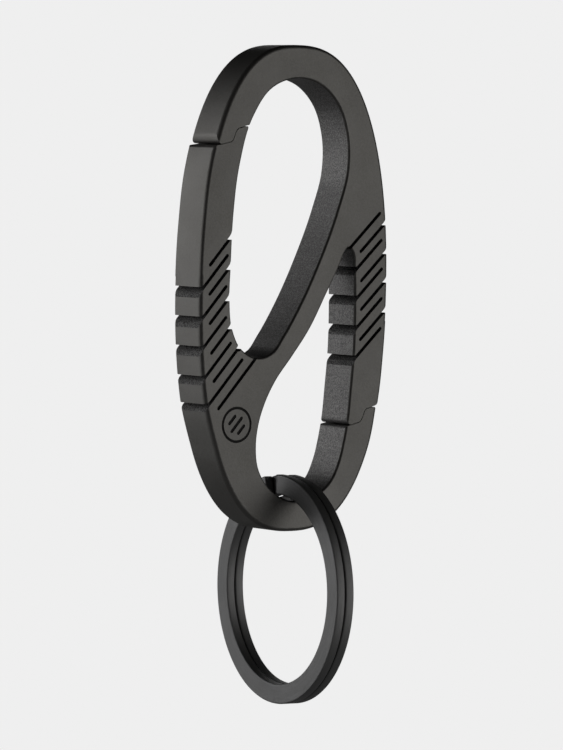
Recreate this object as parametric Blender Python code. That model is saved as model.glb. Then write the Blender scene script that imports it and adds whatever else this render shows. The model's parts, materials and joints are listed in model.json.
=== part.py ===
"""Double-gate key organiser: one slit metal plate with two loops, two sprung gates and a split ring.

The body is a single flat plate standing in the XZ plane, 6 mm thick along Y, front face towards -Y.
A slanted bar divides the long oval into an upper and a lower loop. Each loop has a gate that is part
of the same plate: a stack of slanted slots, open to the two sides in turn, makes a folded spring.
The leaves of each spring are separate solids here, each turning about its own axis along Y.
A flat-wire split ring hangs in the lower loop, and its free half coil can be prised open.
Origin: centre of the whole object's box, halfway from the plate's top to the ring's bottom. +Z runs
along the plate, towards the upper loop. Outlines are drawn from the plate's own centre, and the empty
plate_centre, which every piece is parented to, carries that centre to its place above the origin.
"""
import math

import bmesh
import bpy
from mathutils import Matrix, Vector

MM = 0.001

# Plate and its outer outline: |x/HALF_WIDTH|^SIDE_POWER + |z/HALF_LENGTH|^END_POWER = 1, with the
# lower end moved a little towards +X
HALF_WIDTH = 15.03 * MM
HALF_LENGTH = 31.6 * MM
THICKNESS = 6.0 * MM
SIDE_POWER = 2.55
END_POWER = 2.22
FOOT_SHIFT = 0.30 * MM
FOOT_FROM, FOOT_TO = -14.0 * MM, -21.0 * MM
OVAL_POINTS = 1440
OUTLINE_STEP = 0.6 * MM
CURVE_STEPS = 12
CUTTER_DEPTH = 8.0 * MM

# Seat of the ring: the round lower end of the lower loop
SEAT_CENTRE = Vector((1.15, -20.9)) * MM
SEAT_RADIUS = 6.75 * MM
SEAT_START, SEAT_END, SEAT_POINTS = -14.0, -184.0, 8

# Springs: slots of one width, parallel across each limb. The offsets are the slots' distances from the
# plate's centre, across the slots, in millimetres, counted from the plate to the gate
UPPER_SPRING = {"name": "upper", "side": -1, "angle_deg": 48.5,
                "offsets": (-1.42, 0.07, 1.53, 2.90, 4.30, 5.72, 7.06, 8.40, 9.66, 10.96, 12.16),
                "outer_web": 2.05 * MM, "inner_web": 0.88 * MM}
LOWER_SPRING = {"name": "lower", "side": 1, "angle_deg": 44.0,
                "offsets": (-2.20, -3.76, -4.98, -6.64, -7.82, -9.40, -10.65, -12.22, -13.43),
                "outer_web": 1.20 * MM, "inner_web": 1.20 * MM}
SLOT_WIDTH = 0.45 * MM
HINGE_CUT = 0.05 * MM
RUN_OUT = 1.9 * MM
ROUND_END_ANGLES = (30, 60, 90)
# Corners of a slot's mouth, as (distance past the limb's edge, distance aside) in millimetres
BLUNT_CORNER = [(-0.5, 0.0), (-0.1, 0.045), (0.3, 0.185), (0.65, 0.385), (0.95, 0.6), (1.9, 0.68)]
SHARP_CORNER = [(-0.7, 0.0), (-0.62, 0.075), (-0.48, 0.225), (1.0, 0.3)]
PLAIN_CORNER = [(0.9, 0.0)]
GATE_STEP_DEG = 1.45

# Meeting faces of a gate and the plate: an S-shaped step with a thin gap. A nose's centre is given
# as distances from the plate's centre, and the step's points as (distance aside, distance along)
UPPER_NOSE, LOWER_NOSE = (10.05, 19.75), (11.45, 16.6)
NOSE_GAP = 0.3 * MM
NOSE_CURVE_STEPS = 6
NOSE_STEP = [(4.4, -1.5), (1.15, -1.0), (0.42, -0.76), (0.1, -0.2),
             (-0.1, 0.3), (-0.42, 0.78), (-1.2, 1.06), (-4.6, 1.65)]
GATE_PROUD = 0.14 * MM
PROUD_FROM, PROUD_TO = 8.0 * MM, 15.0 * MM
ZONE_REACH = 1.3 * HALF_WIDTH

# Split ring: flat wire, two coils, hanging in the seat
RING_RADIUS = 15.0 * MM
WIRE_WIDTH = 2.6 * MM
WIRE_THICKNESS = 1.12 * MM
COIL_GAP = 0.08 * MM
RING_YAW = math.radians(-4.0)
RING_ASIDE = 0.3 * MM
RING_SEAT_GAP = 0.06 * MM
CROSSING_START, CROSSING_END = 1.0, 15.0
COIL_STEP_DEG = 3.0
ROOT_CUT = 0.06 * MM
END_CLEARANCE_DEG = 1.0
SMOOTH_ANGLE = math.radians(30.0)

TITANIUM = ("bead_blasted_titanium", (0.075, 0.073, 0.070), 0.55, 0.9)
SPRING_WIRE = ("dark_spring_steel", (0.085, 0.085, 0.087), 0.42, 0.95)


def clear_scene():
    for old in list(bpy.data.objects):
        bpy.data.objects.remove(old, do_unlink=True)


def make_material(spec):
    name, colour, roughness, metallic = spec
    material = bpy.data.materials.new(name)
    material.use_nodes = True
    shader = material.node_tree.nodes["Principled BSDF"]
    shader.inputs["Base Color"].default_value = (*colour, 1.0)
    shader.inputs["Roughness"].default_value = roughness
    shader.inputs["Metallic"].default_value = metallic
    material.diffuse_color = (*colour, 1.0)
    return material


# ---- Curves in the XZ plane --------------------------------------------------------------------

def millimetres(pairs):
    return [Vector(pair) * MM for pair in pairs]


def smooth_curve(anchors, closed, steps=CURVE_STEPS):
    """Curve through the anchors: cubic pieces whose slopes come from the neighbouring anchors."""
    count = len(anchors)

    def slope(index):
        before, here, after = (anchors[(index + shift) % count] for shift in (-1, 0, 1))
        if not closed and index == 0:
            return (after - here).normalized()
        if not closed and index == count - 1:
            return (here - before).normalized()
        run_in, run_out = (here - before).length, (after - here).length
        turn = (here - before) / run_in * run_out + (after - here) / run_out * run_in
        return turn.normalized()

    points = []
    for index in range(count if closed else count - 1):
        start, end = anchors[index], anchors[(index + 1) % count]
        chord = (end - start).length
        lead_in, lead_out = slope(index) * chord, slope((index + 1) % count) * chord
        for step in range(steps):
            t = step / steps
            points.append(start * (2 * t**3 - 3 * t**2 + 1) + lead_in * (t**3 - 2 * t**2 + t)
                          + end * (3 * t**2 - 2 * t**3) + lead_out * (t**3 - t**2))
    return points if closed else points + [anchors[-1]]


def evenly_spaced(points, spacing):
    """Closed outline through the given points, with new points at equal distances along it."""
    lengths = [(points[(i + 1) % len(points)] - p).length for i, p in enumerate(points)]
    count = round(sum(lengths) / spacing)
    stride = sum(lengths) / count
    result, travelled, index = [], 0.0, 0
    for number in range(count):
        target = number * stride
        while travelled + lengths[index] < target:
            travelled += lengths[index]
            index += 1
        share = (target - travelled) / lengths[index]
        result.append(points[index].lerp(points[(index + 1) % len(points)], share))
    return result


def eased(value, start, end):
    """0 before start and 1 after end, with a smooth step between them."""
    share = min(max((value - start) / (end - start), 0.0), 1.0)
    return share * share * (3 - 2 * share)


def oval_point(angle):
    across, along = math.cos(angle), math.sin(angle)
    x = HALF_WIDTH * math.copysign(abs(across) ** (2 / SIDE_POWER), across)
    z = HALF_LENGTH * math.copysign(abs(along) ** (2 / END_POWER), along)
    return Vector((x + FOOT_SHIFT * eased(z, FOOT_FROM, FOOT_TO), z))


def outer_outline():
    dense = [oval_point(2 * math.pi * k / OVAL_POINTS) for k in range(OVAL_POINTS)]
    return evenly_spaced(dense, OUTLINE_STEP)


def proud_outline():
    """The outer outline, stood out a little towards both noses, where the gates overhang."""
    outline = []
    for point in outer_outline():
        lift = GATE_PROUD * eased(abs(point.y), PROUD_FROM, PROUD_TO)
        outline.append(Vector((point.x + math.copysign(lift, point.x), point.y)))
    return outline


def upper_loop():
    anchors = [(-10.17, 3.0), (-9.92, 9.6), (-9.1, 16.0), (-7.1, 22.25), (-4.25, 25.9), (-0.5, 27.25),
               (3.3, 26.6), (6.25, 24.1), (7.9, 20.0), (8.05, 15.4), (6.6, 10.3), (4.0, 4.0),
               (0.8, -2.25), (-1.8, -6.3), (-3.4, -8.3), (-5.8, -8.95), (-8.3, -7.75),
               (-9.75, -5.2), (-10.25, -1.5)]
    return evenly_spaced(smooth_curve(millimetres(anchors), closed=True), OUTLINE_STEP)


def seat_point(angle_deg):
    angle = math.radians(angle_deg)
    return SEAT_CENTRE + SEAT_RADIUS * Vector((math.cos(angle), math.sin(angle)))


def lower_loop():
    sweep = (SEAT_END - SEAT_START) / (SEAT_POINTS - 1)
    seat = [seat_point(SEAT_START + sweep * k) for k in range(SEAT_POINTS)]
    rest = [(-5.25, -17.6), (-4.2, -14.6), (-2.6, -11.8), (-0.4, -9.1), (2.5, -5.3), (5.15, -0.6),
            (7.25, 3.3), (8.05, 4.95), (8.6, 5.45), (9.1, 5.0), (9.5, 2.5), (9.68, -1.2),
            (9.73, -5.0), (9.63, -9.0), (9.3, -13.0), (8.9, -17.2), (8.4, -19.9)]
    return evenly_spaced(smooth_curve(seat + millimetres(rest), closed=True), OUTLINE_STEP)


# ---- Prisms and cutters ------------------------------------------------------------------------

def link_to_plate(piece, centre):
    """Puts a piece in the scene, placed from the plate's centre."""
    bpy.context.collection.objects.link(piece)
    piece.parent = centre


def prism_object(name, outline, thickness, centre, pivot=Vector((0.0, 0.0))):
    """Prism standing on an XZ outline, centred on Y, with its origin at the pivot."""
    shape = bmesh.new()
    for point in outline:
        shape.verts.new((point.x - pivot.x, -thickness / 2, point.y - pivot.y))
    face = shape.faces.new(shape.verts)
    back = bmesh.ops.extrude_face_region(shape, geom=[face])
    moved = [part for part in back["geom"] if isinstance(part, bmesh.types.BMVert)]
    bmesh.ops.translate(shape, verts=moved, vec=(0.0, thickness, 0.0))
    bmesh.ops.recalc_face_normals(shape, faces=shape.faces)
    mesh = bpy.data.meshes.new(name)
    shape.to_mesh(mesh)
    shape.free()
    piece = bpy.data.objects.new(name, mesh)
    piece.location = (pivot.x, 0.0, pivot.y)
    link_to_plate(piece, centre)
    return piece


def cutter_object(name, outline, centre):
    cutter = prism_object(name, outline, CUTTER_DEPTH, centre)
    cutter.hide_render = True
    cutter.display_type = "WIRE"
    return cutter


def add_boolean(piece, cutter, operation):
    modifier = piece.modifiers.new(f"{operation.lower()}_{cutter.name}", "BOOLEAN")
    modifier.object = cutter
    modifier.operation = operation
    modifier.solver = "EXACT"


# ---- Springs and gates -------------------------------------------------------------------------

class Spring:
    """A gate's folded spring: slots counted from the plate to the gate, each closed at one end.

    side is -1 for the left limb and +1 for the right one. The webs are the lengths of metal left past
    a slot's closed end, at the outer and at the loop side.
    """

    def __init__(self, design, loop, nose):
        self.name = design["name"]
        self.side = design["side"]
        self.offsets = [offset * MM for offset in design["offsets"]]
        self.slots = len(self.offsets)
        self.gate_way = math.copysign(1.0, self.offsets[-1] - self.offsets[0])
        angle = math.radians(design["angle_deg"])
        self.along = Vector((math.cos(angle), math.sin(angle)))
        self.across = Vector((-math.sin(angle), math.cos(angle)))
        self.outer_web = design["outer_web"]
        self.inner_web = design["inner_web"]
        self.loop = loop
        self.nose = nose
        self.outer = outer_outline()

    def crossing(self, outline, offset):
        """Where a slot's centre line meets an outline on this spring's limb, along the line."""
        hits = []
        for index, start in enumerate(outline):
            end = outline[(index + 1) % len(outline)]
            near, far = start.dot(self.across) - offset, end.dot(self.across) - offset
            if near * far < 0:
                hit = start.lerp(end, near / (near - far))
                if hit.x * self.side > 0:
                    hits.append(hit.dot(self.along))
        return max(hits) if self.side > 0 else min(hits)

    def slot(self, index):
        """Offset, outer end, inner end, and whether the slot is open to the loop."""
        offset = self.offsets[index]
        outer = self.crossing(self.outer, offset)
        inner = self.crossing(self.loop, offset)
        return offset, outer, inner, index % 2 == 0

    def hinge_point(self, index):
        offset, outer, inner, opens_inward = self.slot(index)
        if opens_inward:
            place = outer - self.side * self.outer_web / 2
        else:
            place = inner + self.side * self.inner_web / 2
        return self.along * place + self.across * offset

    def slot_side(self, index, way):
        """One side of a slot as a path from the outer side to the loop side.

        way is +1 for the side towards the gate. Past the closed end the path goes on as the narrow
        cut that parts two solids, and both ends run out into free space.
        """
        offset, outer, inner, opens_inward = self.slot(index)
        inward = -self.side
        gate_way = way * self.gate_way
        wide, narrow = gate_way * SLOT_WIDTH / 2, gate_way * HINGE_CUT / 2
        plain = index == 0 and way < 0
        if opens_inward:
            closed_end = outer + inward * self.outer_web
            places = [(outer - inward * RUN_OUT, narrow), (closed_end, narrow)]
            places += self.round_end(closed_end, inward, narrow, wide)
            places += self.mouth(inner, inward, gate_way, wide, plain)
        else:
            closed_end = inner - inward * self.inner_web
            places = [(inner + inward * RUN_OUT, narrow), (closed_end, narrow)]
            places += self.round_end(closed_end, -inward, narrow, wide)
            places += self.mouth(outer, -inward, gate_way, wide, plain)
            places.reverse()
        return [self.along * place + self.across * (offset + aside) for place, aside in places]

    def round_end(self, closed_end, outward, narrow, wide):
        radius = abs(wide)
        steps = [math.radians(angle) for angle in ROUND_END_ANGLES]
        return [(closed_end + outward * radius * (1 - math.cos(a)),
                 math.copysign(max(radius * math.sin(a), abs(narrow)), wide)) for a in steps]

    def mouth(self, edge, outward, gate_way, wide, plain):
        """The open end: the blunt corner is well rounded, the sharp one is only blunted."""
        corner = BLUNT_CORNER if outward * gate_way > 0 else SHARP_CORNER
        if plain:
            corner = PLAIN_CORNER
        return [(edge + outward * past * MM, math.copysign(abs(wide) + aside * MM, wide))
                for past, aside in corner]

    def turned_centre(self, leaf):
        """The one point about which a leaf turns when every hinge below it turns by one step."""
        step = math.radians(GATE_STEP_DEG)
        turn = Matrix.Rotation(-step, 2)
        total, shift = Matrix.Identity(2), Vector((0.0, 0.0))
        for index in range(leaf):
            point = self.hinge_point(index)
            shift = shift + total @ (point - turn @ point)
            total = total @ turn
        return (Matrix.Identity(2) - total).inverted() @ shift


def nose_side(spring, way):
    """One side of the gap at a gate's nose, from the outer side to the loop side.

    way is +1 for the side towards the plate and -1 for the gate's own side.
    """
    aside, along = spring.nose
    anchors = [Vector((spring.side * (aside + x), -spring.side * (along + z))) * MM
               for x, z in NOSE_STEP]
    path = smooth_curve(anchors, closed=False, steps=NOSE_CURVE_STEPS)
    shifted = []
    for index, point in enumerate(path):
        ahead = path[min(index + 1, len(path) - 1)] - path[max(index - 1, 0)]
        normal = Vector((-ahead.y, ahead.x)).normalized()
        shifted.append(point + normal * way * NOSE_GAP / 2)
    return shifted


def spring_zone(spring):
    """Outline of everything that a gate and its spring take out of the plate."""
    beside = Vector((spring.side * ZONE_REACH, 0.0))
    return spring.slot_side(0, -1) + nose_side(spring, 1)[::-1] + [beside]


def cut_from_plate(name, outline, pivot, cutters, centre, material):
    """A solid piece of the plate: what lies in the outline, inside the oval and outside the loop."""
    oval, loop = cutters
    piece = prism_object(name, outline, THICKNESS, centre, pivot)
    add_boolean(piece, oval, "INTERSECT")
    add_boolean(piece, loop, "DIFFERENCE")
    piece.data.materials.append(material)


def build_spring(spring, outer, proud, loop, centre, material):
    for leaf in range(1, spring.slots):
        outline = spring.slot_side(leaf - 1, 1) + spring.slot_side(leaf, -1)[::-1]
        pivot = spring.turned_centre(leaf)
        name = f"{spring.name}_leaf_{leaf:02d}"
        cut_from_plate(name, outline, pivot, (outer, loop), centre, material)
    outline = spring.slot_side(spring.slots - 1, 1) + nose_side(spring, -1)[::-1]
    pivot = spring.turned_centre(spring.slots)
    cut_from_plate(f"{spring.name}_gate", outline, pivot, (proud, loop), centre, material)


def build_frame(outline, cutters, centre, material):
    frame = prism_object("frame", outline, THICKNESS, centre)
    for cutter in cutters:
        add_boolean(frame, cutter, "DIFFERENCE")
    frame.data.materials.append(material)


def build_plate(centre, material):
    upper = Spring(UPPER_SPRING, upper_loop(), UPPER_NOSE)
    lower = Spring(LOWER_SPRING, lower_loop(), LOWER_NOSE)
    outer = cutter_object("cut_outer", outer_outline(), centre)
    proud = cutter_object("cut_proud", proud_outline(), centre)
    frame_cutters = []
    for spring in (upper, lower):
        loop = cutter_object(f"cut_{spring.name}_loop", spring.loop, centre)
        zone = cutter_object(f"cut_{spring.name}_zone", spring_zone(spring), centre)
        frame_cutters += [loop, zone]
        build_spring(spring, outer, proud, loop, centre, material)
    build_frame(outer_outline(), frame_cutters, centre, material)


# ---- Split ring --------------------------------------------------------------------------------

def ring_centre():
    """The ring hangs just clear of the seat: its inner edges come nearest at the plate's two faces."""
    inner = RING_RADIUS - WIRE_WIDTH
    half_stack = WIRE_THICKNESS + COIL_GAP / 2 + THICKNESS / 2 * math.sin(abs(RING_YAW))
    seat_height = SEAT_CENTRE.y - math.sqrt(SEAT_RADIUS**2 - (half_stack + RING_ASIDE)**2)
    drop = math.sqrt(inner**2 - (THICKNESS / 2)**2)
    return Vector((SEAT_CENTRE.x + RING_ASIDE, 0.0, seat_height + RING_SEAT_GAP - drop))


def plate_lift():
    """Height of the plate's centre over the middle of the whole object."""
    return (RING_RADIUS - ring_centre().z - HALF_LENGTH) / 2


def coil_offset(angle_deg):
    """Distance of the wire's middle from the ring's middle plane; it crosses over once."""
    layer = (WIRE_THICKNESS + COIL_GAP) / 2
    crossed = eased(angle_deg, 360.0 + CROSSING_START, 360.0 + CROSSING_END)
    return layer * (1 - 2 * crossed)


def coil_object(name, start_deg, end_deg, centre, material, pivot):
    """Flat wire from one angle to another, counted from the top of the ring towards the back."""
    steps = math.ceil((end_deg - start_deg) / COIL_STEP_DEG)
    radii = (RING_RADIUS - WIRE_WIDTH, RING_RADIUS)
    shape = bmesh.new()
    sections = []
    for step in range(steps + 1):
        angle_deg = start_deg + (end_deg - start_deg) * step / steps
        angle = math.radians(angle_deg)
        middle = coil_offset(angle_deg)
        corners = [(radii[0], -0.5), (radii[1], -0.5), (radii[1], 0.5), (radii[0], 0.5)]
        section = [shape.verts.new((-(middle + side * WIRE_THICKNESS), radius * math.sin(angle),
                                    radius * math.cos(angle))) for radius, side in corners]
        sections.append(section)
    for first, second in zip(sections, sections[1:]):
        for k in range(4):
            shape.faces.new((first[k], first[(k + 1) % 4], second[(k + 1) % 4], second[k]))
    shape.faces.new(sections[0])
    shape.faces.new(sections[-1])
    placing = Matrix.Translation(ring_centre()) @ Matrix.Rotation(RING_YAW, 4, "Z")
    shape.transform(Matrix.Translation(-pivot) @ placing)
    bmesh.ops.recalc_face_normals(shape, faces=shape.faces)
    mesh = bpy.data.meshes.new(name)
    shape.to_mesh(mesh)
    shape.free()
    mesh.shade_smooth()
    mesh.set_sharp_from_angle(angle=SMOOTH_ANGLE)
    mesh.materials.append(material)
    piece = bpy.data.objects.new(name, mesh)
    piece.location = pivot
    link_to_plate(piece, centre)


def build_ring(centre, material):
    seat = Vector((SEAT_CENTRE.x, 0.0, SEAT_CENTRE.y))
    root = ring_centre() - Vector((0.0, 0.0, RING_RADIUS))
    half_cut = math.degrees(ROOT_CUT / 2 / (RING_RADIUS - WIRE_WIDTH))
    coil_end = 720.0 + CROSSING_START - END_CLEARANCE_DEG
    coil_object("split_ring", 180.0 + half_cut, coil_end, centre, material, seat)
    coil_object("split_ring_free_coil", CROSSING_END, 180.0 - half_cut, centre, material, root)


def main():
    clear_scene()
    centre = bpy.data.objects.new("plate_centre", None)
    centre.location = (0.0, 0.0, plate_lift())
    bpy.context.collection.objects.link(centre)
    build_plate(centre, make_material(TITANIUM))
    build_ring(centre, make_material(SPRING_WIRE))


main()
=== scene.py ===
"""Looks of the double-gate key organiser: a bead-blasted plate and a flat-wire split ring.

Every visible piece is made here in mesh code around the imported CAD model. The plate's pieces start
from their CAD solids and get narrower gaps, crisp slot mouths, rounded nose corners, rounded outer
and loop edges and an etched mark. The split ring is swept again with a rounded wire section.
Lengths are in metres, like the frame.
"""
import json
import math

import bmesh
import bpy
from mathutils import Matrix, Vector
from mathutils.bvhtree import BVHTree
from mathutils.geometry import intersect_point_line

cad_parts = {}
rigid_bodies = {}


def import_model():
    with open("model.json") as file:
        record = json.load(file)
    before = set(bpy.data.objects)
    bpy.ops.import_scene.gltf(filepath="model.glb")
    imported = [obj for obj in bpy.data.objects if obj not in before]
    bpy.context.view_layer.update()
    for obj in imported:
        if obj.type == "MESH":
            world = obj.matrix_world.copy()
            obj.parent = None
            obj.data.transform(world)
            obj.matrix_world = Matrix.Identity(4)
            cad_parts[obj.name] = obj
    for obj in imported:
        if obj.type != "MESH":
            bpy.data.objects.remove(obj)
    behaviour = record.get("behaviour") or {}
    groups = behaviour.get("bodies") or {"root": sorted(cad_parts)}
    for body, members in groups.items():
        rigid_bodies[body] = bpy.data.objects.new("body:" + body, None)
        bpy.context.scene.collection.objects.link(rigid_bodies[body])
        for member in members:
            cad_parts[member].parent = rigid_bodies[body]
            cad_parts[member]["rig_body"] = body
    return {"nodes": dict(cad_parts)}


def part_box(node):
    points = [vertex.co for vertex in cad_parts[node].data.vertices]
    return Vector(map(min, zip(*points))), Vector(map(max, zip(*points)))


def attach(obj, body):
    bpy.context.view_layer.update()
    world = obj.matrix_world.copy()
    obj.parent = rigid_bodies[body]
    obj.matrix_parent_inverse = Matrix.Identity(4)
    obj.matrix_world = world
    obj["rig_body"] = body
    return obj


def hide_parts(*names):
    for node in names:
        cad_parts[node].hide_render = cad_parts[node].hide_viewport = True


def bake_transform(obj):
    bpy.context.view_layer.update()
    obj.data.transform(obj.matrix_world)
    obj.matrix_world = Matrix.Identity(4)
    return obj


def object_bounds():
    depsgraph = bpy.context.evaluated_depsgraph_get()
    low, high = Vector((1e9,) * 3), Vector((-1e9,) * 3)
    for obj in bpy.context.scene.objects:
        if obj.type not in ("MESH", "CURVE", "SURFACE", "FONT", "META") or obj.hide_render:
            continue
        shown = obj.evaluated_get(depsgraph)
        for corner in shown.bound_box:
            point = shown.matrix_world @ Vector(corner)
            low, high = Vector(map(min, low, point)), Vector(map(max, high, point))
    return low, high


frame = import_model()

MM = 0.001

# The plate's outlines in plan, from its own centre. The loops' anchors and the seat's centre and
# radius are in millimetres.
HALF_WIDTH = 15.03 * MM
HALF_LENGTH = 31.6 * MM
SIDE_POWER = 2.55
END_POWER = 2.22
FOOT_SHIFT = 0.30 * MM
FOOT_FROM, FOOT_TO = -14.0 * MM, -21.0 * MM
OVAL_POINTS = 1440
OUTLINE_STEP = 0.6 * MM
CURVE_STEPS = 12
GATE_PROUD = 0.14 * MM
PROUD_FROM, PROUD_TO = 8.0 * MM, 15.0 * MM
UPPER_LOOP = [(-10.17, 3.0), (-9.92, 9.6), (-9.1, 16.0), (-7.1, 22.25), (-4.25, 25.9),
              (-0.5, 27.25),
              (3.3, 26.6), (6.25, 24.1), (7.9, 20.0), (8.05, 15.4), (6.6, 10.3), (4.0, 4.0),
              (0.8, -2.25), (-1.8, -6.3), (-3.4, -8.3), (-5.8, -8.95), (-8.3, -7.75),
              (-9.75, -5.2), (-10.25, -1.5)]
LOWER_LOOP = [(-5.25, -17.6), (-4.2, -14.6), (-2.6, -11.8), (-0.4, -9.1), (2.5, -5.3), (5.15, -0.6),
              (7.25, 3.3), (8.05, 4.95), (8.6, 5.45), (9.1, 5.0), (9.5, 2.5), (9.68, -1.2),
              (9.73, -5.0), (9.63, -9.0), (9.3, -13.0), (8.9, -17.2), (8.4, -19.9)]
SEAT_CENTRE, SEAT_RADIUS = (1.15, -20.9), 6.75
SEAT_START, SEAT_END, SEAT_POINTS = -14.0, -184.0, 8

# Rounding of the plate's edges, and the cutters that make it
OUTER_ROUND = 0.58 * MM
GATE_ROUND = 0.46 * MM
LOOP_ROUND = 0.32 * MM
ROUND_STEPS = 8
CUTTER_LIFT = 0.003 * MM
CUTTER_MARGIN = 0.12 * MM
# Least cosine taken for the turn at an outline's corner, which bounds how long its way in gets
LEAST_TURN = 0.6
SHARP_ANGLE = math.radians(17.0)

# Walls of the plan polygons. A face is a wall if the Y part of its normal is under UPRIGHT.
UPRIGHT = 0.5
SAME_PLACE = 1e-7
OPEN_SIDES = {"outer", "loop"}
KIND_ON = {"plain": "outer", "proud": "outer", "upper": "loop", "lower": "loop"}
# A wall this near to an outline lies on it; a wall with another this near in front is a web's cut
ON_OUTLINE = 0.004 * MM
WEB_REACH = 0.10 * MM
RAY_LEAD = 1e-6
# A slot mouth's last walls are taken away if they run within this angle of the open side
ALONG_SIDE = math.radians(13.0)
# The cut through a web in the CAD solids and here, and how much the noses' gaps are narrowed
HINGE_CUT = 0.05 * MM
WEB_GAP = 0.004 * MM
NOSE_CLOSE = 0.20 * MM
# Steps of a nose corner's curve, and the fewest cut walls that make a nose
NOSE_STEPS = 8
NOSE_WALLS = 12
# How far each nose corner's rounding reaches along the open side and along the nose's gap
NOSE_ROUND = {("upper", "frame", "outer"): (1.50 * MM, 1.00 * MM),
              ("upper", "frame", "loop"): (0.30 * MM, 0.30 * MM),
              ("upper", "gate", "outer"): (0.35 * MM, 0.35 * MM),
              ("upper", "gate", "loop"): (0.90 * MM, 0.50 * MM),
              ("lower", "frame", "outer"): (0.80 * MM, 0.70 * MM),
              ("lower", "frame", "loop"): (0.35 * MM, 0.35 * MM),
              ("lower", "gate", "outer"): (0.80 * MM, 0.80 * MM),
              ("lower", "gate", "loop"): (0.95 * MM, 0.80 * MM)}
# Material 2, on slot and web walls, is the wire-cut speckle with painted near-black shade
FINISH_OF = {"outer": 0, "loop": 1, "slot": 2, "web": 2, "nose": 0}
ETCHED = 3

# Etched round mark on the front of the lower left limb
MARK_CENTRE = (-8.85, -17.55)
MARK_RADIUS = 2.35 * MM
MARK_LINE = 0.34 * MM
MARK_DEPTH = 0.09 * MM
MARK_SEGMENTS = 56
BAR_ANGLE = math.radians(48.5)
BAR_WIDTH = 0.42 * MM
BAR_PITCH = 0.95 * MM
BAR_LENGTHS = (1.7 * MM, 2.7 * MM, 1.7 * MM)
BAR_END_STEPS = 6

# Split ring; angles in degrees along the wire, from the top of the ring towards the back
RING_RADIUS = 15.0 * MM
WIRE_WIDTH = 2.6 * MM
WIRE_THICKNESS = 1.26 * MM
WIRE_ROUND = 0.22 * MM
WIRE_CORNER_STEPS = 4
COIL_GAP = 0.08 * MM
RING_YAW = math.radians(-4.0)
FULL_TURN = 360.0
COIL_ROOT = 180.0
CROSSING_START, CROSSING_END = 0.0, 13.0
WIRE_END = 720.0
COIL_STEP_DEG = 1.5
END_TAPER = 0.35 * MM
END_SHRINK = 0.55
MOST_CORNER_SHRINK = 0.6
END_STEPS = 4

# Camera, from the plate's own axes
CAMERA_AZIMUTH = math.radians(35.76)
CAMERA_ELEVATION = math.radians(2.72)
CAMERA_ROLL = math.radians(1.25)
CAMERA_DISTANCE = 643.18 * MM
CAMERA_AIM = Vector((0.26, 0.0, -11.36)) * MM
FOCAL_LENGTH_MM = 236.64
SENSOR_MM = 36.0
CLIP_NEAR, CLIP_FAR = 0.01, 50.0

# Floor and world: what the camera sees of them, and the dim light they give to everything else
BACKDROP = (0.863, 0.863, 0.863)
FLOOR_DROP = 400.0 * MM
FLOOR_SIZE = 8.0
FLOOR_SEGMENTS = 96
FLOOR_LIGHT = (0.095, 0.095, 0.095)
WORLD_LIGHT = (1.0, 0.99, 0.98)
WORLD_STRENGTH = 0.008

# Softboxes: (azimuth, elevation) in degrees, distance, (width, height), power in watts, colour
WHITE = (1.0, 1.0, 1.0)
STRIP = (0.42, 0.13)
SOFTBOXES = {
    "front_right_softbox": ((36.0, 0.0), 0.62, (0.42, 0.60), 0.86, (1.0, 0.99, 0.97)),
    "back_left_low_strip": ((216.0, -14.0), 0.62, STRIP, 0.165, WHITE),
    "back_left_middle_strip": ((216.0, 0.0), 0.62, STRIP, 0.175, WHITE),
    "back_left_high_strip": ((216.0, 13.0), 0.62, STRIP, 0.40, WHITE),
    "back_left_top_strip": ((216.0, 27.0), 0.62, STRIP, 0.09, WHITE),
    "left_softbox": ((262.0, 0.0), 0.62, (0.42, 0.42), 0.55, WHITE),
    "back_right_fill": ((135.0, 8.0), 0.70, (0.35, 0.40), 0.25, WHITE)}

# Wire-cut walls: darkest, lightest and clouded colour, depth of the craters, metallic share
LOOP_FINISH = ((0.120, 0.118, 0.117), (0.245, 0.242, 0.240), (0.16, 0.157, 0.156), 0.018 * MM, 0.85)
# The slot walls get the loops' wire-cut speckle made nearly black: painted shade of the narrow slots
SLOT_SPECKLE_AND_PAINTED_SHADE = ((0.003, 0.003, 0.003), (0.175, 0.172, 0.169), (0.03, 0.03, 0.03), 0.050 * MM, 0.0)


# ---- Shader helpers ----------------------------------------------------------------------------

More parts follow.
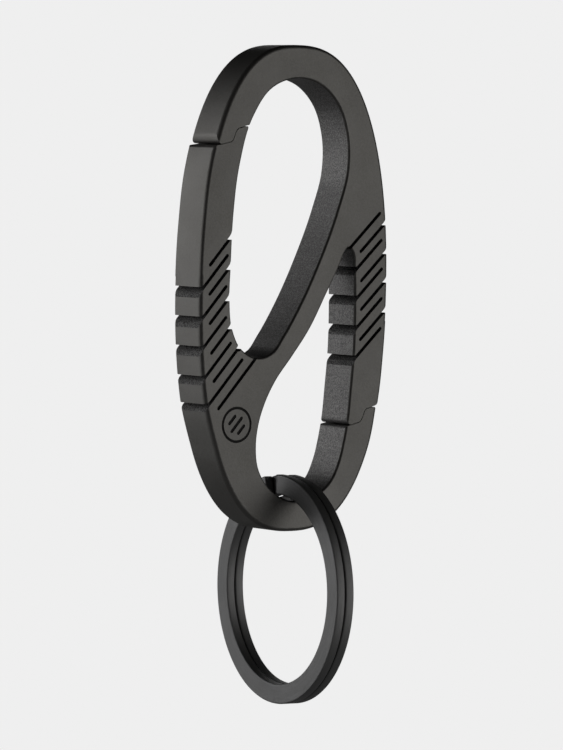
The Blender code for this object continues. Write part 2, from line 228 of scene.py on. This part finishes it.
class Shader:
    """A material's node tree, with short ways to add and wire its nodes."""

    def __init__(self, name):
        self.material = bpy.data.materials.new(name)
        self.material.use_nodes = True
        self.tree = self.material.node_tree
        self.surface = self.tree.nodes["Principled BSDF"]
        self.place = self.add("ShaderNodeTexCoord").outputs["Object"]

    def add(self, kind, **settings):
        node = self.tree.nodes.new(kind)
        for key, value in settings.items():
            setattr(node, key, value)
        return node

    def wire(self, source, target):
        self.tree.links.new(source, target)

    def stretched(self, place, scale):
        node = self.add("ShaderNodeMapping")
        node.inputs["Scale"].default_value = scale
        self.wire(place, node.inputs["Vector"])
        return node.outputs["Vector"]

    def noise(self, place, scale, detail=2.0, roughness=0.5):
        node = self.add("ShaderNodeTexNoise")
        node.inputs["Scale"].default_value = scale
        node.inputs["Detail"].default_value = detail
        node.inputs["Roughness"].default_value = roughness
        self.wire(place, node.inputs["Vector"])
        return node.outputs["Fac"]

    def spread(self, value, low, high, out_low=0.0, out_high=1.0):
        node = self.add("ShaderNodeMapRange")
        node.inputs["From Min"].default_value = low
        node.inputs["From Max"].default_value = high
        node.inputs["To Min"].default_value = out_low
        node.inputs["To Max"].default_value = out_high
        self.wire(value, node.inputs["Value"])
        return node.outputs["Result"]

    def mix(self, share, first, second, blend="MIX"):
        node = self.add("ShaderNodeMix", data_type="RGBA", blend_type=blend)
        colours = [socket for socket in node.inputs if socket.type == "RGBA"]
        for socket, value in zip(colours, (first, second)):
            if isinstance(value, tuple):
                socket.default_value = (*value, 1.0)
            else:
                self.wire(value, socket)
        factor = node.inputs[0]
        if isinstance(share, float):
            factor.default_value = share
        else:
            self.wire(share, factor)
        return next(socket for socket in node.outputs if socket.type == "RGBA")

    def bump(self, height, depth, below=None):
        node = self.add("ShaderNodeBump")
        node.inputs["Distance"].default_value = depth
        node.inputs["Strength"].default_value = 1.0
        self.wire(height, node.inputs["Height"])
        if below is not None:
            self.wire(below, node.inputs["Normal"])
        return node.outputs["Normal"]

    def finish(self, colour, roughness, metallic, normal):
        self.wire(colour, self.surface.inputs["Base Color"])
        self.wire(roughness, self.surface.inputs["Roughness"])
        self.surface.inputs["Metallic"].default_value = metallic
        self.wire(normal, self.surface.inputs["Normal"])
        return self.material


# ---- Materials ---------------------------------------------------------------------------------

def blasted_titanium():
    """Fine bead-blasted grain and soft warm and cool mottling."""
    shader = Shader("blasted_titanium")
    grain = shader.noise(shader.place, 5200.0, 3.0, 0.6)
    pits = shader.noise(shader.place, 2300.0, 2.0, 0.5)
    mottle = shader.noise(shader.place, 210.0, 3.0, 0.55)
    cloud = shader.noise(shader.place, 60.0, 2.0, 0.5)
    colour = shader.mix(shader.spread(mottle, 0.3, 0.7),
                        (0.118, 0.115, 0.108), (0.140, 0.137, 0.131))
    colour = shader.mix(shader.spread(grain, 0.3, 0.75, 0.0, 0.55), colour, (0.175, 0.172, 0.166))
    roughness = shader.spread(cloud, 0.3, 0.7, 0.43, 0.50)
    normal = shader.bump(grain, 0.010 * MM)
    normal = shader.bump(pits, 0.012 * MM, normal)
    return shader.finish(colour, roughness, 0.9, normal)


def wire_cut_titanium(name, darkest, lightest, cloudy, rough_depth, metallic):
    """Wire-eroded wall: fine speckle, with faint lines along the cutting wire's direction, Y."""
    shader = Shader(name)
    craters = shader.noise(shader.place, 5800.0, 1.0, 0.5)
    lines = shader.noise(shader.stretched(shader.place, (1.0, 0.05, 1.0)), 3800.0, 2.0, 0.55)
    cloud = shader.noise(shader.place, 300.0, 2.0, 0.5)
    colour = shader.mix(shader.spread(craters, 0.40, 0.62), darkest, lightest)
    colour = shader.mix(shader.spread(lines, 0.42, 0.62, 0.0, 0.35), colour, darkest)
    colour = shader.mix(shader.spread(cloud, 0.35, 0.65, 0.0, 0.25), colour, cloudy)
    roughness = shader.spread(craters, 0.3, 0.7, 0.60, 0.48)
    normal = shader.bump(craters, rough_depth)
    return shader.finish(colour, roughness, metallic, normal)


def etched_black():
    """Laser-blackened floor and walls of the mark."""
    shader = Shader("etched_black")
    grain = shader.noise(shader.place, 6000.0, 2.0, 0.6)
    colour = shader.mix(shader.spread(grain, 0.3, 0.7),
                        (0.004, 0.004, 0.004), (0.012, 0.012, 0.011))
    roughness = shader.spread(grain, 0.3, 0.7, 0.75, 0.9)
    return shader.finish(colour, roughness, 0.0, shader.bump(grain, 0.02 * MM))


def coated_wire():
    """Dark coated spring wire: faint drawing lines along the wire over a fine satin grain."""
    shader = Shader("coated_spring_wire")
    along = shader.add("ShaderNodeAttribute", attribute_name="wire_place").outputs["Vector"]
    drawn = shader.noise(shader.stretched(along, (0.06, 1.0, 1.0)), 4200.0, 2.0, 0.5)
    grain = shader.noise(shader.place, 5600.0, 2.0, 0.6)
    cloud = shader.noise(shader.place, 180.0, 2.0, 0.5)
    colour = shader.mix(shader.spread(cloud, 0.3, 0.7),
                        (0.160, 0.160, 0.160), (0.186, 0.186, 0.187))
    colour = shader.mix(shader.spread(drawn, 0.35, 0.7, 0.0, 0.35), colour, (0.226, 0.226, 0.227))
    roughness = shader.spread(grain, 0.3, 0.7, 0.50, 0.58)
    normal = shader.bump(grain, 0.006 * MM)
    normal = shader.bump(drawn, 0.005 * MM, normal)
    return shader.finish(colour, roughness, 0.92, normal)


# ---- Mesh helpers ------------------------------------------------------------------------------

def object_from(shape, name, materials):
    mesh = bpy.data.meshes.new(name)
    shape.to_mesh(mesh)
    shape.free()
    for material in materials:
        mesh.materials.append(material)
    made = bpy.data.objects.new(name, mesh)
    bpy.context.scene.collection.objects.link(made)
    return made


def applied(piece):
    """Replaces the piece's mesh by what its modifiers make of it."""
    graph = bpy.context.evaluated_depsgraph_get()
    mesh = bpy.data.meshes.new_from_object(piece.evaluated_get(graph), depsgraph=graph)
    piece.modifiers.clear()
    piece.data = mesh
    return piece


def cut_away(piece, cutters):
    for cutter in cutters:
        modifier = piece.modifiers.new(f"cut_{cutter.name}", "BOOLEAN")
        modifier.operation = "DIFFERENCE"
        modifier.solver = "EXACT"
        modifier.object = cutter
    return applied(piece)


# ---- Outlines in plan, as (x, z) from the plate's own centre -------------------------------------

def smooth_curve(anchors):
    """Closed curve through the anchors: cubic pieces with slopes from the neighbouring anchors."""
    count = len(anchors)

    def slope(index):
        before, here, after = (anchors[(index + shift) % count] for shift in (-1, 0, 1))
        run_in, run_out = (here - before).length, (after - here).length
        return ((here - before) / run_in * run_out + (after - here) / run_out * run_in).normalized()

    points = []
    for index, start in enumerate(anchors):
        end = anchors[(index + 1) % count]
        chord = (end - start).length
        lead_in, lead_out = slope(index) * chord, slope((index + 1) % count) * chord
        for step in range(CURVE_STEPS):
            t = step / CURVE_STEPS
            points.append(start * (2 * t**3 - 3 * t**2 + 1) + lead_in * (t**3 - 2 * t**2 + t)
                          + end * (3 * t**2 - 2 * t**3) + lead_out * (t**3 - t**2))
    return points


def evenly_spaced(points):
    """Closed outline through the given points, with new points about OUTLINE_STEP apart."""
    lengths = [(points[(i + 1) % len(points)] - p).length for i, p in enumerate(points)]
    count = round(sum(lengths) / OUTLINE_STEP)
    stride = sum(lengths) / count
    result, travelled, index = [], 0.0, 0
    for number in range(count):
        target = number * stride
        while travelled + lengths[index] < target:
            travelled += lengths[index]
            index += 1
        share = (target - travelled) / lengths[index]
        result.append(points[index].lerp(points[(index + 1) % len(points)], share))
    return result


def eased(value, start, end):
    """0 before start and 1 after end, with a smooth step between them."""
    share = min(max((value - start) / (end - start), 0.0), 1.0)
    return share * share * (3 - 2 * share)


def oval_point(angle):
    across, along = math.cos(angle), math.sin(angle)
    x = HALF_WIDTH * math.copysign(abs(across) ** (2 / SIDE_POWER), across)
    z = HALF_LENGTH * math.copysign(abs(along) ** (2 / END_POWER), along)
    return Vector((x + FOOT_SHIFT * eased(z, FOOT_FROM, FOOT_TO), z))


def proud(point):
    """A point of the outer outline, stood out a little towards a nose, where the gates overhang."""
    lift = GATE_PROUD * eased(abs(point.y), PROUD_FROM, PROUD_TO)
    return Vector((point.x + math.copysign(lift, point.x), point.y))


def seat_point(number):
    angle = math.radians(SEAT_START + (SEAT_END - SEAT_START) * number / (SEAT_POINTS - 1))
    return Vector(SEAT_CENTRE) + SEAT_RADIUS * Vector((math.cos(angle), math.sin(angle)))


def plate_outlines(lift):
    """Every outline that the plate's pieces follow, by name, lifted to the plate's place."""
    dense = [oval_point(2 * math.pi * k / OVAL_POINTS) for k in range(OVAL_POINTS)]
    plain = evenly_spaced(dense)
    upper = [Vector(pair) * MM for pair in UPPER_LOOP]
    lower = [seat_point(k) * MM for k in range(SEAT_POINTS)]
    lower += [Vector(pair) * MM for pair in LOWER_LOOP]
    outlines = {"plain": plain, "proud": [proud(point) for point in plain],
                "upper": evenly_spaced(smooth_curve(upper)),
                "lower": evenly_spaced(smooth_curve(lower))}
    up = Vector((0.0, lift))
    return {name: [point + up for point in points] for name, points in outlines.items()}


# ---- Plan polygons of the plate's pieces -------------------------------------------------------

def is_wall(face):
    return abs(face.normal.y) < UPRIGHT


def plan_polygon(node):
    """A plate solid's plan outline, counter-clockwise seen from the front."""
    shape = bmesh.new()
    shape.from_mesh(node.data)
    bmesh.ops.remove_doubles(shape, verts=shape.verts, dist=SAME_PLACE)
    follows = {}
    for face in shape.faces:
        if face.normal.y > -UPRIGHT:
            continue
        for loop in face.loops:
            if is_wall(loop.link_loop_radial_next.face):
                follows[loop.vert] = loop.link_loop_next.vert
    start = next(iter(follows))
    polygon, vertex = [], start
    while not polygon or vertex is not start:
        polygon.append(Vector((vertex.co.x, vertex.co.z)))
        vertex = follows[vertex]
    shape.free()
    return polygon


def wall_tree(nodes):
    """All walls of the plate's CAD solids, for looking from one wall to the next."""
    points, faces = [], []
    for node in nodes:
        start = len(points)
        points += [vertex.co.copy() for vertex in node.data.vertices]
        faces += [[start + index for index in face.vertices] for face in node.data.polygons]
    return BVHTree.FromPolygons(points, faces)


def lies_on(point, outline):
    for index, end in enumerate(outline):
        start = outline[index - 1]
        if (end - point).length < 2 * OUTLINE_STEP:
            near, share = intersect_point_line(point, start, end)
            if 0.0 <= share <= 1.0 and (near.to_2d() - point).length < ON_OUTLINE:
                return True
    return False


def outward(start, end):
    run = end - start
    return Vector((run.y, -run.x)).normalized()


def wall_kind(start, end, outlines, walls):
    """What a wall is: on an outline, the cut through a web, or else a slot's side."""
    middle = (start + end) / 2
    for name, kind in KIND_ON.items():
        if lies_on(middle, outlines[name]):
            return kind
    way = outward(start, end)
    start = middle + way * RAY_LEAD
    hit = walls.ray_cast(Vector((start.x, 0.0, start.y)), Vector((way.x, 0.0, way.y)))
    return "web" if hit[0] is not None and hit[3] < WEB_REACH else "slot"


def name_noses(kinds):
    """A long run of cut walls between two open sides belongs to a nose if it has no web in it."""
    count = len(kinds)
    first = next(i for i in range(count)
                 if kinds[i] in OPEN_SIDES and kinds[i - 1] not in OPEN_SIDES)
    run = []
    for index in [*range(first, count), *range(first), first]:
        if kinds[index] not in OPEN_SIDES:
            run.append(index)
            continue
        if len(run) >= NOSE_WALLS and not any(kinds[i] == "web" for i in run):
            for i in run:
                kinds[i] = "nose"
        run = []


def crossing(start, way, other, other_way):
    """The point where two lines cross in plan."""
    gap = other - start
    turned = way.x * other_way.y - way.y * other_way.x
    share = (gap.x * other_way.y - gap.y * other_way.x) / turned
    return start + way * share


def crisp_mouths(polygon, kinds):
    """Takes away the last walls of a slot's mouth that run nearly along the open side they meet.

    The wall before them and the open side are carried on until they meet in one crisp corner.
    """
    count = len(polygon)
    ways = [(polygon[(index + 1) % count] - point).normalized()
            for index, point in enumerate(polygon)]
    corners, dropped = {}, set()
    for index in range(count):
        for way in (1, -1):
            if kinds[index] not in OPEN_SIDES or kinds[(index + way) % count] != "slot":
                continue
            last = index
            while ways[(last + way) % count].angle(ways[index]) < ALONG_SIDE:
                last += way
                dropped.add(last % count)
            if last != index:
                kept = (last + way) % count
                corner = (index + 1) % count if way > 0 else index
                corners[corner] = crossing(polygon[index], ways[index], polygon[kept], ways[kept])
    points, new_kinds = [], []
    for index in range(count):
        if index in corners:
            first_kept = index
            while first_kept in dropped:
                first_kept = (first_kept + 1) % count
            points.append(corners[index])
            new_kinds.append(kinds[first_kept])
        elif index not in dropped and (index - 1) % count not in dropped:
            points.append(polygon[index])
            new_kinds.append(kinds[index])
    return points, new_kinds


def brought_together(polygon, kinds):
    """Moves the walls of webs and noses out a little, which narrows the gaps in front of them.

    Where such a wall ends at an open side, its corner slides along that side.
    """
    shifts = {"web": (HINGE_CUT - WEB_GAP) / 2, "nose": NOSE_CLOSE / 2}
    moved = []
    for index, point in enumerate(polygon):
        before, after = polygon[index - 1], polygon[(index + 1) % len(polygon)]
        walls = [(kinds[index - 1], outward(before, point)), (kinds[index], outward(point, after))]
        ways = [way * shifts[kind] for kind, way in walls if kind in shifts]
        shift = sum(ways, Vector((0.0, 0.0))) / max(len(ways), 1)
        if len(ways) == 1 and walls[0][0] in OPEN_SIDES:
            side = (point - before).normalized()
            shift = side * shift.length_squared / side.dot(shift)
        elif len(ways) == 1 and walls[1][0] in OPEN_SIDES:
            side = (after - point).normalized()
            shift = side * shift.length_squared / side.dot(shift)
        moved.append(point + shift)
    return moved


def place_along(polygon, index, way, distance):
    """The point a distance along the polygon from a corner, and how many corners that passes."""
    count, passed, here = len(polygon), 0, index
    while True:
        start, end = polygon[here % count], polygon[(here + way) % count]
        length = (end - start).length
        if length >= distance:
            return start.lerp(end, distance / length), passed
        distance -= length
        here += way
        passed += 1


def rounded_noses(polygon, kinds, piece_kind, lift):
    """Rounds the corners where a nose's gap comes out at the plate's open sides."""
    count = len(polygon)
    curves, skipped = {}, set()
    for index in range(count):
        pair = {kinds[index - 1], kinds[index]}
        if "nose" not in pair or not pair & OPEN_SIDES:
            continue
        side = (pair & OPEN_SIDES).pop()
        nose = "upper" if polygon[index].y > lift else "lower"
        reaches = NOSE_ROUND[nose, piece_kind, side]
        if kinds[index] in OPEN_SIDES:
            reaches = reaches[::-1]
        before, passed_before = place_along(polygon, index, -1, reaches[0])
        after, passed_after = place_along(polygon, index, 1, reaches[1])
        pull = (after - before).length / sum(reaches)
        curve = []
        for step in range(NOSE_STEPS + 1):
            t = step / NOSE_STEPS
            shares = ((1 - t)**2, pull * 2 * t * (1 - t), t**2)
            point = before * shares[0] + polygon[index] * shares[1] + after * shares[2]
            curve.append(point / sum(shares))
        next_kind = kinds[(index + passed_after) % count]
        curves[index] = (curve, [side] * NOSE_STEPS + [next_kind])
        skipped |= {(index + k) % count for k in range(-passed_before, passed_after + 1)}
    points, new_kinds = [], []
    for index in range(count):
        if index in curves:
            points += curves[index][0]
            new_kinds += curves[index][1]
        elif index not in skipped:
            points.append(polygon[index])
            new_kinds.append(kinds[index])
    return points, new_kinds


def prism(polygon, kinds, face_y):
    """Upright solid on a plan polygon, with the finish of each wall after its kind."""
    shape = bmesh.new()
    front = [shape.verts.new((p.x, -face_y, p.y)) for p in polygon]
    back = [shape.verts.new((p.x, face_y, p.y)) for p in polygon]
    shape.faces.new(front)
    shape.faces.new(back[::-1])
    for index, kind in enumerate(kinds):
        after = (index + 1) % len(polygon)
        wall = shape.faces.new((front[after], front[index], back[index], back[after]))
        wall.material_index = FINISH_OF[kind]
    bmesh.ops.recalc_face_normals(shape, faces=shape.faces)
    return shape


# ---- Rounded edges -----------------------------------------------------------------------------

def ways_in(outline, material_inside):
    """Way into the metal at each point of a closed outline, long enough to keep sweeps parallel."""
    area = sum(outline[i - 1].x * p.y - p.x * outline[i - 1].y for i, p in enumerate(outline))
    turn = -1.0 if (area > 0.0) == material_inside else 1.0
    result = []
    for index, point in enumerate(outline):
        before = outward(outline[index - 1], point) * turn
        after = outward(point, outline[(index + 1) % len(outline)]) * turn
        middle = (before + after).normalized()
        result.append(middle / max(middle.dot(before), LEAST_TURN))
    return result


def round_profile(radius):
    """Section of what is taken off an edge, as (distance into the metal, depth below the face)."""
    reach = radius - CUTTER_LIFT
    profile = []
    for step in range(ROUND_STEPS + 1):
        angle = math.pi / 2 * step / ROUND_STEPS
        profile.append((reach - radius * math.sin(angle), reach - radius * math.cos(angle)))
    return profile + [(-CUTTER_MARGIN, reach), (-CUTTER_MARGIN, -CUTTER_MARGIN),
                      (reach, -CUTTER_MARGIN)]


def edge_cutter(name, outline, radius, material_inside, face_y, materials):
    """Closed sweep along an outline that rounds the plate's front and back edge there."""
    shape = bmesh.new()
    inward = ways_in(outline, material_inside)
    for side in (-1.0, 1.0):
        rings = []
        for point, way in zip(outline, inward):
            ring = []
            for reach, depth in round_profile(radius):
                place = point + way * reach
                ring.append(shape.verts.new((place.x, side * (face_y - depth), place.y)))
            rings.append(ring)
        size = len(rings[0])
        for first, second in zip(rings, rings[1:] + rings[:1]):
            for k in range(size):
                after = (k + 1) % size
                shape.faces.new((first[k], first[after], second[after], second[k]))
    bmesh.ops.recalc_face_normals(shape, faces=shape.faces)
    cutter = object_from(shape, name, materials)
    cutter.hide_render = True
    return cutter


# ---- Etched mark -------------------------------------------------------------------------------

def slab(shape, outline, face_y):
    """Adds a shallow solid that stands on an outline and reaches MARK_DEPTH into the front face."""
    levels = (-face_y - MARK_DEPTH, -face_y + MARK_DEPTH)
    rings = [[shape.verts.new((p.x, y, p.y)) for p in outline] for y in levels]
    for first, second in zip(range(len(outline)), [*range(1, len(outline)), 0]):
        shape.faces.new((rings[0][first], rings[0][second], rings[1][second], rings[1][first]))
    return rings


def mark_cutter(lift, face_y, materials):
    """A circle line with three slanted bars inside it, cut as one shallow recess."""
    shape = bmesh.new()
    centre = Vector(MARK_CENTRE) * MM + Vector((0.0, lift))
    circles = []
    for radius in (MARK_RADIUS, MARK_RADIUS - MARK_LINE):
        circle = []
        for k in range(MARK_SEGMENTS):
            turn = 2 * math.pi * k / MARK_SEGMENTS
            circle.append(centre + radius * Vector((math.cos(turn), math.sin(turn))))
        circles.append(slab(shape, circle, face_y))
    for level in (0, 1):
        outer, inner = circles[0][level], circles[1][level]
        for k in range(MARK_SEGMENTS):
            after = (k + 1) % MARK_SEGMENTS
            shape.faces.new((outer[k], outer[after], inner[after], inner[k]))
    along = Vector((math.cos(BAR_ANGLE), math.sin(BAR_ANGLE)))
    across = Vector((-along.y, along.x))
    for number, length in enumerate(BAR_LENGTHS):
        middle = centre + across * BAR_PITCH * (number - 1)
        corners = [middle + along * u * (length - BAR_WIDTH) / 2 + turned
                   for u, turned in bar_ends(along, across)]
        for ring in slab(shape, corners, face_y):
            shape.faces.new(ring)
    bmesh.ops.recalc_face_normals(shape, faces=shape.faces)
    for face in shape.faces:
        face.material_index = ETCHED
    cutter = object_from(shape, "cut_mark", materials)
    cutter.hide_render = True
    return cutter


def bar_ends(along, across):
    """Corners of a round-ended bar: which end each belongs to, and its offset from that end."""
    corners = []
    for end, start in ((1, -90), (-1, 90)):
        for step in range(BAR_END_STEPS + 1):
            turn = math.radians(start + 180 * step / BAR_END_STEPS)
            offset = along * math.cos(turn) + across * math.sin(turn)
            corners.append((end, offset * BAR_WIDTH / 2))
    return corners


# ---- The plate's pieces ------------------------------------------------------------------------

def even_shading(piece):
    """Weights the normals by face size, and keeps the creases."""
    weights = piece.modifiers.new("even_shading", "WEIGHTED_NORMAL")
    weights.keep_sharp = True


def shade(piece):
    """Smooth shading, with creases at real edges and where one finish meets another."""
    piece.data.shade_smooth()
    piece.data.set_sharp_from_angle(angle=SHARP_ANGLE)
    shape = bmesh.new()
    shape.from_mesh(piece.data)
    for edge in shape.edges:
        if len({face.material_index for face in edge.link_faces}) > 1:
            edge.smooth = False
    shape.to_mesh(piece.data)
    shape.free()
    even_shading(piece)


def plate_piece(node, outlines, walls, lift, face_y, cutters, materials):
    """One finished piece of the plate, in place of its CAD solid and on the same body."""
    polygon = plan_polygon(node)
    ends = polygon[1:] + polygon[:1]
    kinds = [wall_kind(start, end, outlines, walls) for start, end in zip(polygon, ends)]
    name_noses(kinds)
    polygon, kinds = crisp_mouths(polygon, kinds)
    polygon = brought_together(polygon, kinds)
    if "leaf" not in node.name:
        piece_kind = "frame" if node.name == "frame" else "gate"
        polygon, kinds = rounded_noses(polygon, kinds, piece_kind, lift)
    piece = object_from(prism(polygon, kinds, face_y), f"{node.name}_finished", materials)
    cut_away(piece, cutters)
    shade(piece)
    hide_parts(node.name)
    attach(piece, node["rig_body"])


def build_plate(materials):
    nodes = [node for name, node in sorted(frame["nodes"].items())
             if not name.startswith("split_ring")]
    walls = wall_tree(nodes)
    low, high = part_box("frame")
    lift = (low.z + high.z) / 2
    outlines = plate_outlines(lift)
    rounds = {"plain": OUTER_ROUND, "proud": GATE_ROUND, "upper": LOOP_ROUND, "lower": LOOP_ROUND}
    cutters = {}
    for name, radius in rounds.items():
        metal_inside = name in ("plain", "proud")
        cutters[name] = edge_cutter(f"cut_{name}", outlines[name], radius, metal_inside,
                                    high.y, materials)
    cutters["mark"] = mark_cutter(lift, high.y, materials)
    for node in nodes:
        if node.name == "frame":
            names = ("plain", "upper", "lower", "mark")
        else:
            names = ("proud" if "gate" in node.name else "plain", node.name.split("_")[0])
        used = [cutters[name] for name in names]
        plate_piece(node, outlines, walls, lift, high.y, used, materials)
    for cutter in cutters.values():
        bpy.data.objects.remove(cutter, do_unlink=True)


# ---- Split ring --------------------------------------------------------------------------------

def ring_centre():
    main_low, main_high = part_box("split_ring")
    coil_low, coil_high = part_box("split_ring_free_coil")
    x = (min(main_low.x, coil_low.x) + max(main_high.x, coil_high.x)) / 2
    return Vector((x, 0.0, min(main_low.z, coil_low.z) + RING_RADIUS))


def coil_offset(angle_deg):
    """Distance of the wire's middle from the ring's middle plane; it crosses over once."""
    layer = (WIRE_THICKNESS + COIL_GAP) / 2
    crossed = eased(angle_deg, FULL_TURN + CROSSING_START, FULL_TURN + CROSSING_END)
    return layer * (1 - 2 * crossed)


def wire_section(shrink):
    """Rounded rectangle of the flat wire, as (out from the ring's axis, across the coils)."""
    half_width = WIRE_WIDTH / 2 - shrink
    half_height = WIRE_THICKNESS / 2 - shrink
    radius = WIRE_ROUND - min(shrink, WIRE_ROUND * MOST_CORNER_SHRINK)
    points = []
    for quarter, (u, v) in enumerate(((1, 1), (-1, 1), (-1, -1), (1, -1))):
        for step in range(WIRE_CORNER_STEPS + 1):
            angle = math.pi / 2 * (quarter + step / WIRE_CORNER_STEPS)
            points.append((u * (half_width - radius) + radius * math.cos(angle),
                           v * (half_height - radius) + radius * math.sin(angle)))
    return points


def wire_angles(start_deg, end_deg, free_start, free_end):
    """Angles of the sweep's sections, with how much each shrinks, which rounds a free end."""
    taper = math.degrees(END_TAPER / RING_RADIUS)
    first = start_deg + (taper if free_start else 0.0)
    last = end_deg - (taper if free_end else 0.0)
    steps = math.ceil((last - first) / COIL_STEP_DEG)
    sections = [(first + (last - first) * k / steps, 0.0) for k in range(steps + 1)]
    rounding = []
    for k in range(1, END_STEPS + 1):
        turn = math.pi / 2 * k / END_STEPS
        rounding.append((taper * math.sin(turn), END_TAPER * END_SHRINK * (1 - math.cos(turn))))
    if free_start:
        sections = [(first - ahead, shrink) for ahead, shrink in rounding][::-1] + sections
    if free_end:
        sections += [(last + ahead, shrink) for ahead, shrink in rounding]
    return sections


def wire_piece(name, start_deg, end_deg, free_start, free_end, material):
    """Flat wire from one angle to another, counted from the top of the ring towards the back."""
    shape = bmesh.new()
    place_layer = shape.verts.layers.float_vector.new("wire_place")
    middle_radius = RING_RADIUS - WIRE_WIDTH / 2
    sections = []
    for angle_deg, shrink in wire_angles(start_deg, end_deg, free_start, free_end):
        angle = math.radians(angle_deg)
        section = []
        for out, across in wire_section(shrink):
            radius = middle_radius + out
            vertex = shape.verts.new((-(coil_offset(angle_deg) + across), radius * math.sin(angle),
                                      radius * math.cos(angle)))
            vertex[place_layer] = (middle_radius * angle, out, across)
            section.append(vertex)
        sections.append(section)
    size = len(sections[0])
    for first, second in zip(sections, sections[1:]):
        for k in range(size):
            shape.faces.new((first[k], first[(k + 1) % size], second[(k + 1) % size], second[k]))
    shape.faces.new(sections[0])
    shape.faces.new(sections[-1])
    shape.transform(Matrix.Translation(ring_centre()) @ Matrix.Rotation(RING_YAW, 4, "Z"))
    bmesh.ops.recalc_face_normals(shape, faces=shape.faces)
    piece = object_from(shape, name, [material])
    piece.data.shade_smooth()
    piece.data.set_sharp_from_angle(angle=SHARP_ANGLE)
    even_shading(piece)
    return piece


def build_ring(material):
    wire = wire_piece("split_ring_wire", COIL_ROOT, WIRE_END, False, True, material)
    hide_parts("split_ring")
    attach(wire, "split_ring")
    coil = wire_piece("split_ring_free_end", CROSSING_END, COIL_ROOT, True, False, material)
    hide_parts("split_ring_free_coil")
    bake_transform(applied(coil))


# ---- Stage, light and camera -------------------------------------------------------------------

def direction(azimuth_deg, elevation_deg):
    """Unit direction; azimuth 0 is towards the front, -Y, and 90 towards +X."""
    a, e = math.radians(azimuth_deg), math.radians(elevation_deg)
    return Vector((math.sin(a) * math.cos(e), -math.cos(a) * math.cos(e), math.sin(e)))


def build_floor():
    """Pale floor well below the ring: evenly bright to the camera, and a dim glow to the rest."""
    low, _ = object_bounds()
    shape = bmesh.new()
    bmesh.ops.create_circle(shape, cap_ends=True, segments=FLOOR_SEGMENTS, radius=FLOOR_SIZE / 2)
    floor = object_from(shape, "studio_floor", [])
    floor.location = (0.0, 0.0, low.z - FLOOR_DROP)
    material = bpy.data.materials.new("pale_floor")
    material.use_nodes = True
    tree = material.node_tree
    tree.nodes.clear()
    glow = tree.nodes.new("ShaderNodeEmission")
    glow.inputs["Color"].default_value = (*BACKDROP, 1.0)
    dim = tree.nodes.new("ShaderNodeEmission")
    dim.inputs["Color"].default_value = (*FLOOR_LIGHT, 1.0)
    seen = tree.nodes.new("ShaderNodeLightPath")
    both = tree.nodes.new("ShaderNodeMixShader")
    out = tree.nodes.new("ShaderNodeOutputMaterial")
    tree.links.new(seen.outputs["Is Camera Ray"], both.inputs["Fac"])
    tree.links.new(dim.outputs["Emission"], both.inputs[1])
    tree.links.new(glow.outputs["Emission"], both.inputs[2])
    tree.links.new(both.outputs["Shader"], out.inputs["Surface"])
    floor.data.materials.append(material)


def build_world():
    """Pale to the camera, and a dim even studio to everything else."""
    world = bpy.data.worlds.new("studio")
    world.use_nodes = True
    tree = world.node_tree
    tree.nodes.clear()
    seen = tree.nodes.new("ShaderNodeLightPath")
    pale = tree.nodes.new("ShaderNodeBackground")
    pale.inputs["Color"].default_value = (*BACKDROP, 1.0)
    dim = tree.nodes.new("ShaderNodeBackground")
    dim.inputs["Color"].default_value = (*WORLD_LIGHT, 1.0)
    dim.inputs["Strength"].default_value = WORLD_STRENGTH
    both = tree.nodes.new("ShaderNodeMixShader")
    out = tree.nodes.new("ShaderNodeOutputWorld")
    tree.links.new(seen.outputs["Is Camera Ray"], both.inputs["Fac"])
    tree.links.new(dim.outputs["Background"], both.inputs[1])
    tree.links.new(pale.outputs["Background"], both.inputs[2])
    tree.links.new(both.outputs["Shader"], out.inputs["Surface"])
    bpy.context.scene.world = world


def softbox(name, way, distance, size, power, colour):
    data = bpy.data.lights.new(name, "AREA")
    data.shape = "RECTANGLE"
    data.size, data.size_y = size
    data.energy = power
    data.color = colour
    light = bpy.data.objects.new(name, data)
    light.location = way * distance
    light.rotation_euler = way.to_track_quat("Z", "Y").to_euler()
    light.visible_camera = False
    bpy.context.scene.collection.objects.link(light)


def build_lights():
    """Softboxes mirrored by the front face and, in strips from low to high, by the left sides."""
    for name, (angles, distance, size, power, colour) in SOFTBOXES.items():
        softbox(name, direction(*angles), distance, size, power, colour)
    bpy.context.scene.view_settings.view_transform = "Standard"


def build_camera():
    data = bpy.data.cameras.new("product_camera")
    data.lens = FOCAL_LENGTH_MM
    data.sensor_width = SENSOR_MM
    data.clip_start, data.clip_end = CLIP_NEAR, CLIP_FAR
    camera = bpy.data.objects.new("product_camera", data)
    bpy.context.scene.collection.objects.link(camera)
    low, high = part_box("frame")
    lift = Vector((0.0, 0.0, (low.z + high.z) / 2))
    back = direction(-math.degrees(CAMERA_AZIMUTH), math.degrees(CAMERA_ELEVATION))
    right = Vector((math.cos(CAMERA_AZIMUTH), -math.sin(CAMERA_AZIMUTH), 0.0))
    up = back.cross(right)
    turned_right = right * math.cos(CAMERA_ROLL) + up * math.sin(CAMERA_ROLL)
    turned_up = up * math.cos(CAMERA_ROLL) - right * math.sin(CAMERA_ROLL)
    place = CAMERA_AIM + lift + back * CAMERA_DISTANCE
    axes = Matrix((turned_right, turned_up, back)).transposed().to_4x4()
    camera.matrix_world = Matrix.Translation(place) @ axes
    bpy.context.scene.camera = camera


def main():
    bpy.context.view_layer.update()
    plate_materials = [blasted_titanium(), wire_cut_titanium("wire_cut_loops", *LOOP_FINISH),
                       wire_cut_titanium("wire_cut_slots", *SLOT_SPECKLE_AND_PAINTED_SHADE), etched_black()]
    build_plate(plate_materials)
    build_ring(coated_wire())
    build_floor()
    build_world()
    build_lights()
    build_camera()


main()
